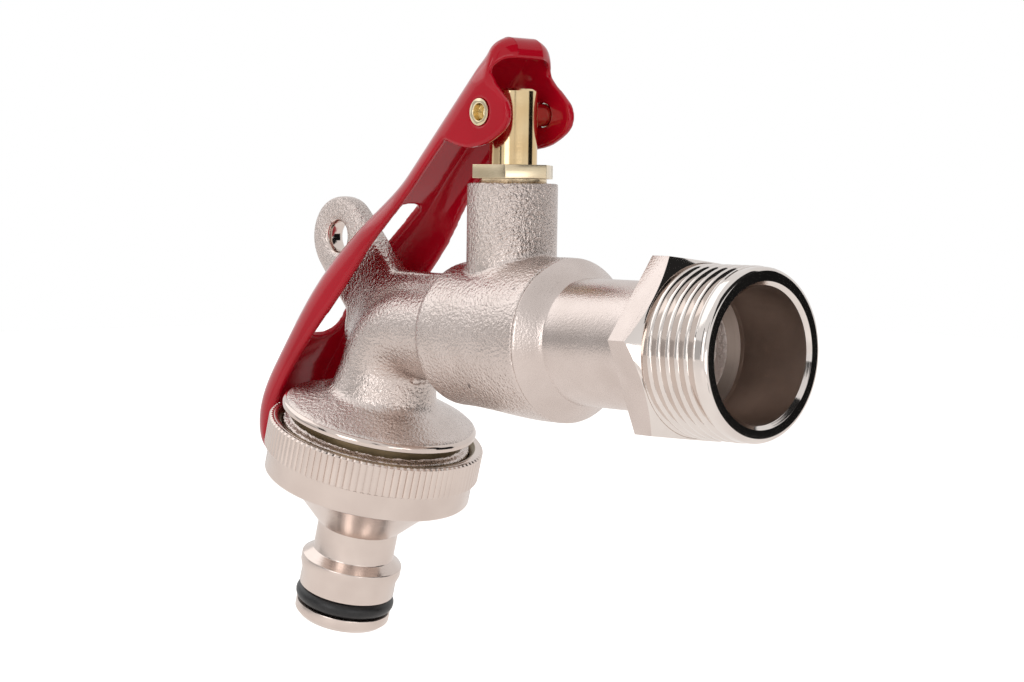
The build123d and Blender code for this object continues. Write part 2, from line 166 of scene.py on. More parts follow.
def turnedNickel(name, look, along):
    # fine tool lines round the axis of turning
    made, tree, shader = newMaterial(name)
    coords = objectCoords(tree)
    dot = addNode(tree, "ShaderNodeVectorMath", operation="DOT_PRODUCT")
    dot.inputs[1].default_value = along
    tree.links.new(coords, dot.inputs[0])
    lines = addNode(tree, "ShaderNodeTexNoise", noise_dimensions="1D")
    lines.inputs["Scale"].default_value = look["lines"]
    lines.inputs["Detail"].default_value = 2
    tree.links.new(dot.outputs["Value"], lines.inputs["W"])
    cloud = noiseOn(tree, coords, 140, 3)
    tone = rampOn(tree, cloud.outputs["Fac"], [(0.3, look["dark"]), (0.7, look["light"])])
    bump = bumpOn(tree, lines.outputs["Fac"], 0.35, look["relief"])
    tree.links.new(tone.outputs["Color"], shader.inputs["Base Color"])
    tree.links.new(rangeOn(tree, lines.outputs["Fac"], look["smooth"], look["rough"]), shader.inputs["Roughness"])
    tree.links.new(bump.outputs["Normal"], shader.inputs["Normal"])
    shader.inputs["Metallic"].default_value = 1
    return made


redLook = {"deep": (0.44, 0.002, 0.013), "lit": (0.53, 0.004, 0.019), "peel": 420, "relief": 0.00004,
           "smooth": 0.09, "rough": 0.17}


def redCoating(name, look):
    made, tree, shader = newMaterial(name)
    coords = objectCoords(tree)
    peel = noiseOn(tree, coords, look["peel"], 1.5)
    cloud = noiseOn(tree, coords, 60, 3)
    tone = rampOn(tree, cloud.outputs["Fac"], [(0.3, look["deep"]), (0.7, look["lit"])])
    bump = bumpOn(tree, peel.outputs["Fac"], 0.25, look["relief"])
    tree.links.new(tone.outputs["Color"], shader.inputs["Base Color"])
    tree.links.new(rangeOn(tree, cloud.outputs["Fac"], look["smooth"], look["rough"]), shader.inputs["Roughness"])
    tree.links.new(bump.outputs["Normal"], shader.inputs["Normal"])
    shader.inputs["Specular IOR Level"].default_value = 0.2
    shader.inputs["Coat Weight"].default_value = 0.25
    shader.inputs["Coat Roughness"].default_value = 0.05
    return made


rubberLook = {"dark": (0.008, 0.008, 0.009), "light": (0.018, 0.017, 0.018), "grain": 1800}


def moulded(name, look, smooth, rough):
    made, tree, shader = newMaterial(name)
    coords = objectCoords(tree)
    grain = noiseOn(tree, coords, look["grain"], 2)
    tone = rampOn(tree, grain.outputs["Fac"], [(0.3, look["dark"]), (0.7, look["light"])])
    bump = bumpOn(tree, grain.outputs["Fac"], 0.2, 0.00002)
    tree.links.new(tone.outputs["Color"], shader.inputs["Base Color"])
    tree.links.new(rangeOn(tree, grain.outputs["Fac"], smooth, rough), shader.inputs["Roughness"])
    tree.links.new(bump.outputs["Normal"], shader.inputs["Normal"])
    return made


brassLook = {"dark": (0.74, 0.52, 0.27), "light": (0.88, 0.7, 0.43), "lines": 4200, "relief": 0.00001,
             "smooth": 0.08, "rough": 0.17}
seatLook = {"dark": (0.78, 0.78, 0.76), "light": (0.86, 0.86, 0.84), "grain": 900}

scuffs = [{"at": (-41.3, -10.2, -8.0), "size": 0.75}, {"at": (-30.7, -10.1, 8.2), "size": 0.6}]
forgedMat = blastedNickel("blastedNickel", dict(blastedLook, marks=scuffs))
fineMat = blastedNickel("finelyBlasted", dict(blastedLook, grain=3000, relief=0.0001, dentDepth=0.00003))
# the raw port wall's pale tone is painted light: paler than the forging, to stand in for the light that comes in at
# the mouth
portLitMat = blastedNickel("rawPortPaintedLight", dict(blastedLook, dark=(0.8, 0.72, 0.68), light=(0.9, 0.83, 0.8), smooth=0.6,
                                        rough=0.75))
adaptorMat = turnedNickel("turnedNickel", turnedLook, outletAxis)
# the raw thread's olive hue is raw brass, and its dark tone is painted shade in the gap under the rim
gapShadeMat = turnedNickel("rawThreadPaintedShade", dict(turnedLook, dark=(0.2, 0.155, 0.09), light=(0.3, 0.235, 0.145), smooth=0.25,
                                        rough=0.4), outletAxis)
drilledMat = turnedNickel("drilledHole", dict(turnedLook, smooth=0.05, rough=0.12), Vector((0, 1, 0)))
threadMat = turnedNickel("polishedThread", dict(turnedLook, smooth=0.04, rough=0.12, dark=(0.74, 0.67, 0.63),
                                                light=(0.82, 0.76, 0.72)), pipeAxis)
polishedMat = turnedNickel("polishedRing", dict(turnedLook, smooth=0.06, rough=0.14), outletAxis)
ballMat = turnedNickel("polishedBall", dict(turnedLook, smooth=0.05, rough=0.1), upAxis)
brassMat = turnedNickel("bareBrass", brassLook, upAxis)
nutMat = turnedNickel("paleNut", dict(brassLook, dark=(0.72, 0.58, 0.38), light=(0.84, 0.71, 0.5), smooth=0.16,
                                      rough=0.28), upAxis)
rivetMat = turnedNickel("paleBrass", dict(brassLook, dark=(0.8, 0.66, 0.42), light=(0.9, 0.8, 0.58)), upAxis)
# the bore's darker tone is painted shade inside the bore; its higher roughness is the dull finish
boreShadeMat = turnedNickel("dullBorePaintedShade", dict(turnedLook, dark=(0.5, 0.41, 0.36), light=(0.6, 0.5, 0.44), smooth=0.3,
                                        rough=0.44), pipeAxis)
# the shoulder step's near-black tone is painted shade deep in the bore
shoulderShadeMat = turnedNickel("shoulderPaintedShade", dict(turnedLook, dark=(0.22, 0.175, 0.15), light=(0.28, 0.225, 0.195),
                                                smooth=0.4, rough=0.55), pipeAxis)
redMat = redCoating("redCoating", redLook)
rubberMat = moulded("blackRubber", rubberLook, 0.32, 0.45)
seatMat = moulded("seatPlastic", seatLook, 0.4, 0.55)
print("materials made")


# modelling helpers

def setMaterial(piece, *mats):
    piece.data.materials.clear()
    for mat in mats:
        piece.data.materials.append(mat)


def finishPiece(piece, body, slot, *mats):
    setMaterial(piece, *mats)
    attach(piece, body)


def makeActive(piece):
    bpy.ops.object.select_all(action="DESELECT")
    bpy.context.view_layer.objects.active = piece
    piece.select_set(True)


def applyAll(piece):
    makeActive(piece)
    for mod in list(piece.modifiers):
        bpy.ops.object.modifier_apply(modifier=mod.name)


def smoothByAngle(piece, degrees):
    makeActive(piece)
    bpy.ops.object.shade_smooth_by_angle(angle=radians(degrees))


def relaxFurther(piece, rounds, chosen):
    # smooths only where chosen(point in mm) gives a weight
    group = piece.vertex_groups.new(name="soft")
    for vert in piece.data.vertices:
        weight = chosen(vert.co / mm)
        if weight > 0:
            group.add([vert.index], weight, "REPLACE")
    relax = piece.modifiers.new("relaxFurther", "SMOOTH")
    relax.factor = 0.5
    relax.iterations = rounds
    relax.vertex_group = "soft"
    applyAll(piece)
    piece.vertex_groups.clear()


def ramped(value, low, high):
    part = min(1, max(0, (value - low) / (high - low)))
    return part * part * (3 - 2 * part)


def softCopy(node, name, voxel, rounds, filler=None):
    # a copy of a CAD node, remeshed and relaxed so that its edges turn soft; the filler melts into it
    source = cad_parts[node]
    piece = bpy.data.objects.new(name, source.data.copy())
    bpy.context.scene.collection.objects.link(piece)
    makeActive(piece)
    bpy.ops.object.mode_set(mode="EDIT")
    bpy.ops.mesh.select_all(action="SELECT")
    bpy.ops.mesh.remove_doubles(threshold=0.002 * mm)
    bpy.ops.object.mode_set(mode="OBJECT")
    if filler:
        filler.select_set(True)
        bpy.ops.object.join()
    remesh = piece.modifiers.new("remesh", "REMESH")
    remesh.mode = "VOXEL"
    remesh.voxel_size = voxel * mm
    relax = piece.modifiers.new("relax", "SMOOTH")
    relax.factor = 0.5
    relax.iterations = rounds
    applyAll(piece)
    bpy.ops.object.shade_smooth()
    print(name, "faces", len(piece.data.polygons))
    return piece


def spunPiece(name, line, origin, along, across, steps):
    # the half outline is drawn point by point, then spun round its axis
    points = [origin + along * (s * mm) + across * (r * mm) for r, s in line]
    points.append(points[0])
    bpy.ops.object.select_all(action="DESELECT")
    bpy.ops.mesh.primitive_plane_add(size=mm, enter_editmode=True)
    piece = bpy.context.object
    piece.name = name
    bpy.ops.mesh.merge(type="CENTER")
    bpy.ops.transform.translate(value=points[0])
    for start, end in zip(points, points[1:]):
        bpy.ops.mesh.extrude_vertices_move(TRANSFORM_OT_translate={"value": end - start})
    bpy.ops.mesh.select_all(action="SELECT")
    bpy.ops.mesh.spin(steps=steps, angle=2 * pi, center=origin, axis=along)
    bpy.ops.mesh.select_all(action="SELECT")
    bpy.ops.mesh.remove_doubles(threshold=0.002 * mm)
    bpy.ops.mesh.normals_make_consistent(inside=False)
    bpy.ops.object.mode_set(mode="OBJECT")
    return piece


def softenEdges(piece, width, segments, angle):
    bevel = piece.modifiers.new("soften", "BEVEL")
    bevel.width = width * mm
    bevel.segments = segments
    bevel.limit_method = "ANGLE"
    bevel.angle_limit = radians(angle)
    applyAll(piece)


# forged body
flank = {"bendStart": -64.109, "bend": 9.6, "turn": 74.43, "radius": 8.4, "inner": 7.2, "half": 2.35,
         "runFrom": -50.0, "stations": 36, "curveSteps": 8,
         # how far the ridge stands from the elbow's middle, by degrees round the bend
         "ridge": [(0, 9.75), (8.5, 10.0), (20, 11.05), (28, 12.2), (34, 12.9), (40, 13.2), (46, 12.95), (56, 12.7),
                   (61, 12.4), (68, 11.2), (74.43, 9.9)]}


def ridgeHeight(turn):
    for (fromTurn, low), (toTurn, high) in zip(flank["ridge"], flank["ridge"][1:]):
        if turn <= toTurn:
            return low + (high - low) * (turn - fromTurn) / (toTurn - fromTurn)


def flankSection(height):
    # the ridge's half section: down its hollow flank to the elbow, then back inside
    spread = radians(22 + 6 * (height - flank["radius"]))
    foot = Vector((cos(spread), sin(spread))) * flank["radius"]
    run = (foot.y - flank["half"] - 0.3) / cos(spread)
    knee = Vector((foot.x + run * sin(spread), flank["half"] + 0.3))
    top = Vector((height, flank["half"]))
    curve = [top * (1 - t) ** 2 + knee * 2 * t * (1 - t) + foot * t * t
             for t in (k / flank["curveSteps"] for k in range(flank["curveSteps"] + 1))]
    inside = [Vector((cos(spread * k), sin(spread * k))) * flank["inner"] for k in (1, 0.5, 0)]
    return curve + inside


def flankLoft():
    # sections lofted along the run and round the bend, since their height changes on the way
    stations = [(None, flank["runFrom"])]
    stations += [(flank["turn"] * k / flank["stations"], 0) for k in range(flank["stations"] + 1)]
    points, faces = [], []
    for turn, along in stations:
        half = flankSection(ridgeHeight(turn or 0))
        ring = half + [Vector((p.x, -p.y)) for p in reversed(half[:-1])]
        for p in ring:
            if turn is None:
                points.append(Vector((along, -p.y, p.x)) * mm)
            else:
                reach = flank["bend"] + p.x
                points.append(Vector((flank["bendStart"] - reach * sin(radians(turn)), -p.y,
                                      reach * cos(radians(turn)) - flank["bend"])) * mm)
    size = len(points) // len(stations)
    for row in range(len(stations) - 1):
        for k in range(size):
            nxt = (k + 1) % size
            faces.append([row * size + k, row * size + nxt, (row + 1) * size + nxt, (row + 1) * size + k])
    faces += [list(range(size)), list(range(len(points) - size, len(points)))]
    shape = bpy.data.meshes.new("ridge")
    shape.from_pydata(points, [], faces)
    loft = bpy.data.objects.new("ridge", shape)
    bpy.context.scene.collection.objects.link(loft)
    makeActive(loft)
    bpy.ops.object.mode_set(mode="EDIT")
    bpy.ops.mesh.select_all(action="SELECT")
    bpy.ops.mesh.normals_make_consistent(inside=False)
    bpy.ops.object.mode_set(mode="OBJECT")
    return loft


forging = softCopy("valve_body", "forging", 0.41, 4, flankLoft())
lugHole = {"middle": Vector((-86, 0, 15.5)), "reach": 3.05, "halfDepth": 1.75}
barrelShape = {"rear": 12.1, "front": 13.3, "coneFrom": -44.8, "coneTo": -39.0, "softFrom": -51.0, "softTo": -31.0,
               "end": -28.3, "inside": 11}
for vert in forging.data.vertices:  # the barrel swells in one soft sweep, not in a cone
    x, y, z = vert.co / mm
    radius = hypot(y, z)
    if barrelShape["softFrom"] < x < barrelShape["end"] and radius > barrelShape["inside"]:
        coneLength = barrelShape["coneTo"] - barrelShape["coneFrom"]
        cone = min(1, max(0, (x - barrelShape["coneFrom"]) / coneLength))
        soft = ramped(x, barrelShape["softFrom"], barrelShape["softTo"])
        grow = (soft - cone) * (barrelShape["front"] - barrelShape["rear"])
        grow *= 1 - ramped(z, 8.5, 11) * (1 - ramped(hypot(x - stemFoot.x / mm, y), 7.6, 9.5))
        grow *= 1 - ramped(radius, 13.5, 14.5)
        vert.co.y += y / radius * grow * mm
        vert.co.z += z / radius * grow * mm
relaxFurther(forging, 16, lambda p: ramped(p.z, 9, 12) * ramped(-p.x, 72, 76))
relaxFurther(forging, 20, lambda p: ramped(-p.x, 66, 69) * ramped(p.z, -8, -4))
finishPiece(forging, "body", "blasted_nickel", forgedMat, drilledMat)
for face in forging.data.polygons:  # the padlock hole is drilled after the blasting
    away = face.center / mm - lugHole["middle"]
    if hypot(away.x, away.z) < lugHole["reach"] and abs(away.y) < lugHole["halfDepth"]:
        face.material_index = 1
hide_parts("valve_body")
print("forging done")


# inlet connector: ring and neck, hexagon, threaded end
connector = {"seam": -28.2, "ringRadius": 13.3, "ringFoot": 10.9, "ringLength": 3.0, "neckRadius": 10.15,
             "hexBack": -4.8, "hexFlats": 27.0, "hexTurn": 23.33, "soften": 0.35, "portEnd": 5.8, "portMouth": 7.6}
ringEnd = connector["seam"] + connector["ringLength"]
neck = spunPiece("neckRing", [
    (connector["portEnd"], connector["seam"] - 1), (connector["ringRadius"] - 1.2, connector["seam"] - 1),
    (connector["ringRadius"] - 1.2, connector["seam"] + 0.05), (connector["ringRadius"], connector["seam"] + 0.05),
    (connector["ringRadius"] - 0.1, connector["seam"] + 0.5),
    (connector["ringFoot"], ringEnd), (connector["neckRadius"], ringEnd + 0.9),
    (connector["neckRadius"], connector["hexBack"] + 1), (connector["portMouth"], connector["hexBack"] + 1),
    (connector["portEnd"], connector["hexBack"] - 2.5)],
    Vector(), pipeAxis, upAxis, 160)
softenEdges(neck, connector["soften"], 3, 20)
smoothByAngle(neck, 40)
finishPiece(neck, "body", "blasted_nickel", fineMat, portLitMat)
for face in neck.data.polygons:  # the port inside is raw, and its paler tone is painted light from the mouth
    if hypot(face.center.y, face.center.z) < (connector["portMouth"] + 0.1) * mm:
        face.material_index = 1

hexRadius = connector["hexFlats"] / 3 ** 0.5
bpy.ops.object.select_all(action="DESELECT")
bpy.ops.mesh.primitive_cylinder_add(vertices=6, radius=hexRadius * mm, depth=-connector["hexBack"] * mm)
hexNut = bpy.context.object
hexNut.name = "hexNut"
hexNut.data.transform(Matrix.Translation((connector["hexBack"] / 2 * mm, 0, 0)) @ Matrix.Rotation(pi / 2, 4, "Y")
                      @ Matrix.Rotation(radians(connector["hexTurn"] - 30), 4, "Z"))
hexNut.matrix_world = Matrix.Identity(4)
thread = {"crest": 13.22, "root": 12.0, "pitch": 1.814, "phase": -2.0, "turns": 10, "steps": 96, "start": -0.6,
          "leadFrom": 10.35, "leadRadius": 13.1, "underLead": 0.06, "runOut": 10.9, "mouth": 12.3, "edge": 0.9,
          "faceRadius": 12.25, "bore": 10.4, "boreDepth": 14.7, "lip": 0.6, "port": 8.35, "wall": 0.3}
shoulder = thread["mouth"] - thread["boreDepth"]
trimmer = spunPiece("hexTrim", [
    (6.2, -20), (hexRadius + 1, -20), (hexRadius + 1, -1.9), (13.3, 0.001), (11, 0.001), (11, -0.7),
    (thread["bore"], -0.7), (thread["bore"], shoulder + 1), (thread["port"], shoulder),
    (connector["portMouth"], shoulder - 1.4)],
    Vector(), pipeAxis, upAxis, 160)
trim = hexNut.modifiers.new("trim", "BOOLEAN")
trim.operation = "INTERSECT"
trim.object = trimmer
applyAll(hexNut)
bpy.data.objects.remove(trimmer)
setMaterial(hexNut, fineMat, boreShadeMat, threadMat, portLitMat, shoulderShadeMat)
for face in hexNut.data.polygons:  # the front chamfer is turned bright; the port behind the bore is raw and paler as painted light from the mouth, the step at the shoulder is near-black as painted shade, and the bore wall's darker tone is painted shade
    inward = face.normal.y * face.center.y + face.normal.z * face.center.z < 0
    if inward and face.center.x < shoulder * mm:
        face.material_index = 3
    elif inward and face.center.x < (shoulder + 1.02) * mm:
        face.material_index = 4
    elif inward:
        face.material_index = 1
    elif face.center.x > -2 * mm and face.normal.x > 0.2:
        face.material_index = 2
softenEdges(hexNut, 0.36, 3, 28)
smoothByAngle(hexNut, 40)
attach(hexNut, "body")

bpy.ops.object.select_all(action="DESELECT")
bpy.ops.mesh.primitive_plane_add(size=mm, enter_editmode=True)
threadEnd = bpy.context.object
threadEnd.name = "threadedEnd"
bpy.ops.mesh.merge(type="CENTER")
toothLine = [(0.0, 0.0), (0.07, 0.03), (0.13, 0.14), (0.28, 0.86), (0.33, 0.97), (0.39, 1.0), (0.5, 1.0),
             (0.61, 1.0), (0.67, 0.97), (0.72, 0.86), (0.87, 0.14), (0.93, 0.03), (1.0, 0.0)]
rise = thread["crest"] - thread["root"]
profile = [Vector(((t + thread["phase"]) * thread["pitch"], 0, thread["root"] + h * rise)) * mm
           for t, h in toothLine]
bpy.ops.transform.translate(value=profile[0])
for start, end in zip(profile, profile[1:]):
    bpy.ops.mesh.extrude_vertices_move(TRANSFORM_OT_translate={"value": end - start})
bpy.ops.object.mode_set(mode="OBJECT")
helix = threadEnd.modifiers.new("helix", "SCREW")
helix.axis = "X"
helix.screw_offset = thread["pitch"] * mm
helix.iterations = thread["turns"]
helix.steps = helix.render_steps = thread["steps"]
helix.use_merge_vertices = True
helix.merge_threshold = 0.002 * mm
applyAll(threadEnd)
for vert in threadEnd.data.vertices:  # the thread runs out under the lead ring
    radius = hypot(vert.co.y, vert.co.z)
    if vert.co.x > thread["leadFrom"] * mm:
        vert.co.y *= (thread["leadRadius"] - thread["underLead"]) * mm / radius
        vert.co.z *= (thread["leadRadius"] - thread["underLead"]) * mm / radius
bpy.ops.object.mode_set(mode="EDIT")
bpy.ops.mesh.select_all(action="SELECT")
bpy.ops.mesh.remove_doubles(threshold=0.002 * mm)
bpy.ops.mesh.bisect(plane_co=(thread["runOut"] * mm, 0, 0), plane_no=(1, 0, 0), clear_outer=True)
bpy.ops.mesh.select_all(action="SELECT")
bpy.ops.mesh.bisect(plane_co=(thread["start"] * mm, 0, 0), plane_no=(1, 0, 0), clear_inner=True)
bpy.ops.mesh.select_mode(type="EDGE")
bpy.ops.mesh.select_all(action="DESELECT")
bpy.ops.mesh.select_non_manifold()
bpy.ops.mesh.extrude_edges_move()
bpy.ops.object.mode_set(mode="OBJECT")
for vert in threadEnd.data.vertices:  # the new edge loops close in, then the inner wall joins them
    if vert.select:
        radius = hypot(vert.co.y, vert.co.z)
        vert.co.y *= (thread["bore"] + thread["wall"]) * mm / radius
        vert.co.z *= (thread["bore"] + thread["wall"]) * mm / radius
bpy.ops.object.mode_set(mode="EDIT")
bpy.ops.mesh.bridge_edge_loops()
bpy.ops.mesh.select_mode(type="VERT")
bpy.ops.mesh.select_all(action="SELECT")
bpy.ops.mesh.normals_make_consistent(inside=False)
bpy.ops.object.mode_set(mode="OBJECT")
print("thread faces", len(threadEnd.data.polygons))
smoothByAngle(threadEnd, 48)
finishPiece(threadEnd, "body", "turned_nickel", threadMat)
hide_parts("inlet_connector")

# plain lead ring at the mouth, and the bore that runs in behind it
nose = [(thread["faceRadius"] + (thread["leadRadius"] - thread["faceRadius"]) * cos(turn),
         thread["mouth"] - thread["edge"] * (1 - sin(turn))) for turn in (pi / 2 * k / 6 for k in range(7))]
leadRing = spunPiece("leadRing", [
    (thread["leadRadius"] - 0.5, thread["leadFrom"] - 0.25), (thread["leadRadius"] - 0.12, thread["leadFrom"] - 0.25),
    (thread["leadRadius"], thread["leadFrom"] - 0.1)] + nose + [
    (thread["bore"] + thread["lip"], thread["mouth"]), (thread["bore"], thread["mouth"] - thread["lip"]),
    (thread["bore"], -0.7), (thread["bore"] + 0.35, -0.7), (thread["bore"] + 0.35, thread["leadFrom"] - 0.25)],
    Vector(), pipeAxis, upAxis, 192)
smoothByAngle(leadRing, 30)
finishPiece(leadRing, "body", "turned_nickel", threadMat, boreShadeMat)
# the bore wall gets the darker bore tone, painted shade inside the bore
for face in leadRing.data.polygons:
    if hypot(face.center.y, face.center.z) < (thread["bore"] + 0.02) * mm:
        face.material_index = 1
print("connector done")


# lever
pressing = {"bend": 2.4, "softBend": 6.0, "narrow": 7.7, "wide": 9.4, "flareFrom": 28.0, "flareTo": 45.0,
            "hood": (-41.2, 46.1), "tip": (-99.5, -24.6), "inside": (-62.4, 0.0), "brow": (-41.9, 43.6),
            "browShift": (1.0, -0.5), "browReach": 3.2}
lever = softCopy("lever", "leverPressing", 0.27, 6)
hoodAt, tipAt, insideAt, browAt = (Vector((pressing[key][0], 0, pressing[key][1]))
                                   for key in ("hood", "tip", "inside", "brow"))
leverLine = (tipAt - hoodAt).normalized()
backPoints = [vert.co / mm for vert in lever.data.vertices if 4.2 < abs(vert.co.y) / mm < 5.0
              and vert.normal.dot(vert.co / mm - insideAt) > 0 and abs(vert.normal.y) < 0.4]
backTree = KDTree(len(backPoints))
for k, point in enumerate(backPoints):
    backTree.insert((point.x, 0, point.z), k)
backTree.balance()


def bendEdge(depth, bend):
    # how far a bend of this radius has drawn the side in, at a depth below the back
    return bend - (bend * bend - (bend - depth) ** 2) ** 0.5 if depth < bend else 0


for vert in lever.data.vertices:  # the sheet was drawn over a round former: wide soft bends, not sharp corners
    point = vert.co / mm
    flat = Vector((point.x, 0, point.z))
    depth = backTree.find(flat)[2]
    along = (flat - hoodAt).dot(leverLine)
    flared = ramped(along, pressing["flareFrom"], pressing["flareTo"])
    half = pressing["narrow"] + (pressing["wide"] - pressing["narrow"]) * flared
    drawn = bendEdge(depth, pressing["softBend"]) - bendEdge(depth, pressing["bend"])
    share = ramped(abs(point.y), half - 5.5, half - 1.0)
    vert.co.y -= (drawn * share * (1 if point.y > 0 else -1)) * mm
    near = max(0, 1 - (flat - browAt).length / pressing["browReach"])
    vert.co.x += pressing["browShift"][0] * near * mm
    vert.co.z += pressing["browShift"][1] * near * mm
relaxFurther(lever, 8, lambda p: 1)
relaxFurther(lever, 22, lambda p: ramped(p.z, 41.5, 44.5))
finishPiece(lever, "lever", "red_coating", redMat)
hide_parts("lever")
print("lever done")


# hose adaptor
adaptor = {"knurlFoot": 18.0, "knurlRadius": 19.1, "knurlStart": 19.15, "knurlEnd": 24.66, "flutes": 100,
           "fluteDepth": 0.22, "bandRadius": 18.3,
           "bandEnd": 29.15, "thread": 16.73, "floor": 28.4, "bore": 4.6, "neck": 7.2}
collar = spunPiece("hoseAdaptor", [
    (adaptor["thread"], adaptor["floor"]), (adaptor["thread"], 20.0), (17.5, 19.1), (18.3, 19.1),
    (18.6, 19.4), (18.6, adaptor["knurlEnd"] - 0.1), (adaptor["bandRadius"], 24.7), (adaptor["bandRadius"], 28.75),
    (17.9, adaptor["bandEnd"]), (14.4, 29.55), (adaptor["neck"], 37.1), (adaptor["neck"], 42.16),
    (8.97, 43.44), (8.97, 44.94), (8.5, 46.4), (8.5, 49.1), (5.93, 49.1), (5.93, 52.2), (8.5, 52.2), (8.5, 53.86),
    (7.6, 54.76), (adaptor["bore"], 54.76), (adaptor["bore"], adaptor["floor"])],
    outletTop, outletAxis, outletSide, 192)
softenEdges(collar, 0.14, 2, 25)
smoothByAngle(collar, 32)
finishPiece(collar, "body", "turned_nickel", adaptorMat, gapShadeMat)
for face in collar.data.polygons:  # the thread inside is raw brass, and its dark tone is painted shade
    arm = face.center - outletTop
    depth = arm.dot(outletAxis) / mm
    radius = (arm - outletAxis * arm.dot(outletAxis)).length / mm
    if depth < adaptor["floor"] and radius < 17.6:
        face.material_index = 1
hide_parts("hose_adaptor", "adaptor_nose")

fluteShape = [1.0, 0.6, 0.08, 0, 0, 0, 0.08, 0.6]  # how deep each step across one flute lies
knurl = spunPiece("knurl", [
    (adaptor["knurlFoot"], adaptor["knurlStart"]), (18.75, adaptor["knurlStart"]), (adaptor["knurlRadius"], 19.45),
    (adaptor["knurlRadius"], 24.4), (18.9, adaptor["knurlEnd"]), (adaptor["knurlFoot"], adaptor["knurlEnd"])],
    outletTop, outletAxis, outletSide, adaptor["flutes"] * len(fluteShape))
fluteStep = 2 * pi / (adaptor["flutes"] * len(fluteShape))
for vert in knurl.data.vertices:
    arm = vert.co - outletTop
    arm -= outletAxis * arm.dot(outletAxis)
    if arm.length > 18.5 * mm:
        count = round(atan2(arm.dot(outletFar), arm.dot(outletSide)) / fluteStep)
        vert.co -= arm.normalized() * fluteShape[count % len(fluteShape)] * adaptor["fluteDepth"] * mm
smoothByAngle(knurl, 20)
finishPiece(knurl, "body", "turned_nickel", adaptorMat)

# machined ring below the blasted rim, and the neck that runs into the collar
rimRing = spunPiece("rimRing", [
    (14.9, 15.7), (16.6, 15.7), (17.0, 15.85), (17.22, 16.2), (17.26, 16.6), (17.15, 16.95), (16.85, 17.12),
    (15.5, 17.2), (15.42, 17.6), (15.42, 19.3), (14.9, 19.3)], outletTop, outletAxis, outletSide, 192)
smoothByAngle(rimRing, 40)
finishPiece(rimRing, "body", "turned_nickel", polishedMat, gapShadeMat)
for face in rimRing.data.polygons:  # the thread below the ring is raw brass, and its dark tone is painted shade in the gap
    if (face.center - outletTop).dot(outletAxis) > 17.25 * mm:
        face.material_index = 1

sealRing = {"middle": 50.65, "radius": 7.4, "cord": 1.45, "sides": 24}
seal = spunPiece("sealRing", [
    (sealRing["radius"] + sealRing["cord"] * cos(2 * pi * k / sealRing["sides"]),
     sealRing["middle"] + sealRing["cord"] * sin(2 * pi * k / sealRing["sides"])) for k in range(sealRing["sides"])],
    outletTop, outletAxis, outletSide, 96)
smoothByAngle(seal, 60)
finishPiece(seal, "body", "black_rubber", rubberMat)
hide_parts("spigot_o_ring")
print("adaptor done")


# stem: one turned bar
bar = {"radius": 3.95, "foot": 9.5, "top": 40.4, "chamfer": 0.35}
stemShank = spunPiece("stemShank", [
    (0, bar["foot"]), (bar["radius"], bar["foot"]), (bar["radius"], bar["top"] - bar["chamfer"]),
    (bar["radius"] - bar["chamfer"], bar["top"]), (0, bar["top"])], stemFoot, upAxis, pipeAxis, 96)
smoothByAngle(stemShank, 30)
finishPiece(stemShank, "stem", "bare_brass", brassMat)
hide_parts("stem")

# gland nut and rivet: copies of the CAD nodes with their edges broken
for node, name, mat, body, width in (("gland_nut", "glandNut", nutMat, "body", 0.16),
                                     ("lever_rivet", "rivetTube", rivetMat, "stem", 0.14)):
    piece = bpy.data.objects.new(name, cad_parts[node].data.copy())
    bpy.context.scene.collection.objects.link(piece)
    makeActive(piece)
    bpy.ops.object.mode_set(mode="EDIT")
    bpy.ops.mesh.select_all(action="SELECT")
    bpy.ops.mesh.remove_doubles(threshold=0.002 * mm)
    bpy.ops.mesh.dissolve_limited(angle_limit=radians(1))
    bpy.ops.object.mode_set(mode="OBJECT")
    softenEdges(piece, width, 2, 35)
    smoothByAngle(piece, 35)
    finishPiece(piece, body, "bare_brass", mat)
    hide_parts(node)
    print(name, "faces", len(piece.data.polygons))


# CAD nodes that keep their own shape
for node, mat in {"ball": ballMat, "inlet_seat": seatMat, "outlet_seat": seatMat, "thrust_washer": seatMat,
                  "stem_packing": seatMat, "adaptor_gasket": rubberMat}.items():
    setMaterial(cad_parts[node], mat)
print("nodes dressed")


# studio
studio = {"floor": -0.2, "floorTone": (0.82, 0.78, 0.75), "floorGlow": 0.7, "floorInMetal": 0.3, "world": 0.68,
          "worldInMetal": 0.85}
bpy.ops.object.select_all(action="DESELECT")
bpy.ops.mesh.primitive_plane_add(size=6, location=(0, 0, studio["floor"]))
floor = bpy.context.object
floor.name = "floor"
floorMat, tree, shader = newMaterial("paleFloor")
shader.inputs["Base Color"].default_value = (*studio["floorTone"], 1)
shader.inputs["Roughness"].default_value = 0.9
paths = addNode(tree, "ShaderNodeLightPath")
inMetal = addNode(tree, "ShaderNodeMath", operation="MULTIPLY")
inMetal.inputs[1].default_value = studio["floorInMetal"]
tree.links.new(paths.outputs["Is Glossy Ray"], inMetal.inputs[0])
seen = addNode(tree, "ShaderNodeMath", operation="MULTIPLY_ADD")
seen.inputs[1].default_value = studio["floorGlow"]
tree.links.new(paths.outputs["Is Camera Ray"], seen.inputs[0])
tree.links.new(inMetal.outputs["Value"], seen.inputs[2])
glow = addNode(tree, "ShaderNodeEmission")
glow.inputs["Color"].default_value = (1, 1, 1, 1)
tree.links.new(seen.outputs["Value"], glow.inputs["Strength"])
both = addNode(tree, "ShaderNodeAddShader")
tree.links.new(shader.outputs["BSDF"], both.inputs[0])
tree.links.new(glow.outputs["Emission"], both.inputs[1])
tree.links.new(both.outputs["Shader"], tree.nodes["Material Output"].inputs["Surface"])
setMaterial(floor, floorMat)

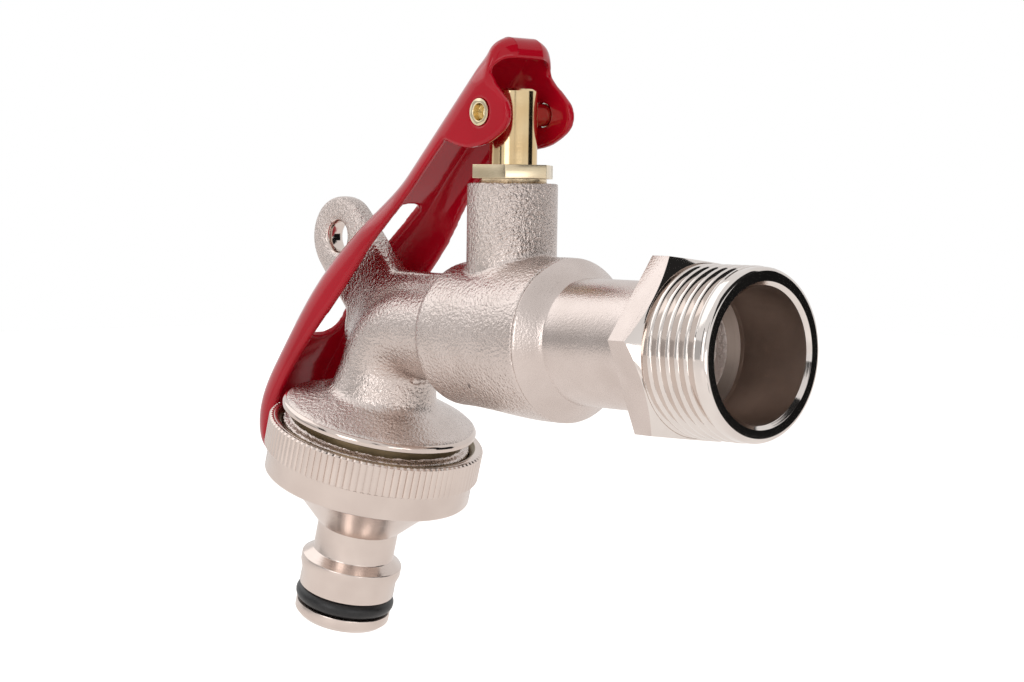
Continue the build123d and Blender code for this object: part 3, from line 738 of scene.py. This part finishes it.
world = bpy.data.worlds.new("studio")
bpy.context.scene.world = world
world.use_nodes = True
tree = world.node_tree
fill = tree.nodes["Background"]
fill.inputs["Color"].default_value = (1, 1, 1, 1)
paths = addNode(tree, "ShaderNodeLightPath")
mirrorRays = addNode(tree, "ShaderNodeMath", operation="MAXIMUM")
tree.links.new(paths.outputs["Is Glossy Ray"], mirrorRays.inputs[0])
tree.links.new(paths.outputs["Is Transmission Ray"], mirrorRays.inputs[1])
inMetal = addNode(tree, "ShaderNodeMath", operation="MULTIPLY_ADD")
inMetal.inputs[1].default_value = studio["worldInMetal"] - studio["world"]
inMetal.inputs[2].default_value = studio["world"]
tree.links.new(mirrorRays.outputs["Value"], inMetal.inputs[0])
seen = addNode(tree, "ShaderNodeMath", operation="MAXIMUM")
tree.links.new(paths.outputs["Is Camera Ray"], seen.inputs[0])
tree.links.new(inMetal.outputs["Value"], seen.inputs[1])
tree.links.new(seen.outputs["Value"], fill.inputs["Strength"])

middle = Vector((-0.045, 0, 0.0))


def softbox(name, place, size, power):
    lamp = bpy.data.lights.new(name, "AREA")
    lamp.shape = "RECTANGLE"
    lamp.size, lamp.size_y = size
    lamp.energy = power
    box = bpy.data.objects.new(name, lamp)
    bpy.context.scene.collection.objects.link(box)
    box.location = middle + Vector(place)
    box.rotation_euler = (-Vector(place)).to_track_quat("-Z", "Y").to_euler()
    box.visible_camera = False


def flag(name, place, size, tone):
    # a card of one tone that only shows in reflections
    bpy.ops.object.select_all(action="DESELECT")
    bpy.ops.mesh.primitive_plane_add(size=1)
    card = bpy.context.object
    card.name = name
    card.scale = (*size, 1)
    card.location = middle + Vector(place)
    card.rotation_euler = (-Vector(place)).to_track_quat("Z", "Y").to_euler()
    cardMat, tree, shader = newMaterial(name)
    shader.inputs["Base Color"].default_value = (0, 0, 0, 1)
    shader.inputs["Specular IOR Level"].default_value = 0
    shader.inputs["Emission Color"].default_value = (1, 1, 1, 1)
    shader.inputs["Emission Strength"].default_value = tone
    setMaterial(card, cardMat)
    card.visible_camera = card.visible_diffuse = card.visible_shadow = False


softbox("topBox", (-0.52, -0.18, 0.5), (0.7, 0.6), 0.85)
softbox("leftBox", (0.21, -0.69, 0.12), (0.28, 0.4), 0.65)
softbox("rightBox", (0.7, -0.16, -0.07), (0.34, 0.16), 0.3)
flag("leftFlag", (-0.5, -0.54, 0.06), (0.5, 0.26), 0.5)
flag("leftBar", (-0.19, -0.7, 0.2), (0.14, 0.4), 0.06)
flag("cameraBar", (0.64, -0.48, 0.25), (0.09, 0.36), 0.08)
flag("rightFlag", (0.5, 0.54, 0.08), (0.36, 0.5), 0.01)
flag("rightCard", (0.6, 0.2, 0.46), (0.75, 0.6), 0.02)
flag("lowCard", (0.44, -0.06, -0.165), (0.05, 0.05), 0.01)
print("studio done")

shot = {"place": (227.7, -251.94, 21.78), "azimuth": 46.951, "elevation": 3.501, "roll": 0.852, "lens": 79.01}
az, el, roll = (radians(shot[key]) for key in ("azimuth", "elevation", "roll"))
back = Vector((sin(az) * cos(el), -cos(az) * cos(el), sin(el)))
right = Vector((cos(az), sin(az), 0))
top = back.cross(right)
turnedRight = right * cos(roll) + top * sin(roll)
turnedTop = top * cos(roll) - right * sin(roll)
eye = bpy.data.cameras.new("photoCamera")
eye.lens = shot["lens"]
eye.sensor_width = 36
eye.clip_start = 0.01
camera = bpy.data.objects.new("photoCamera", eye)
bpy.context.scene.collection.objects.link(camera)
facing = Matrix((turnedRight, turnedTop, back)).transposed().to_4x4()
camera.matrix_world = Matrix.Translation(Vector(shot["place"]) * mm) @ facing
bpy.context.scene.camera = camera
bpy.context.scene.view_settings.view_transform = "Standard"
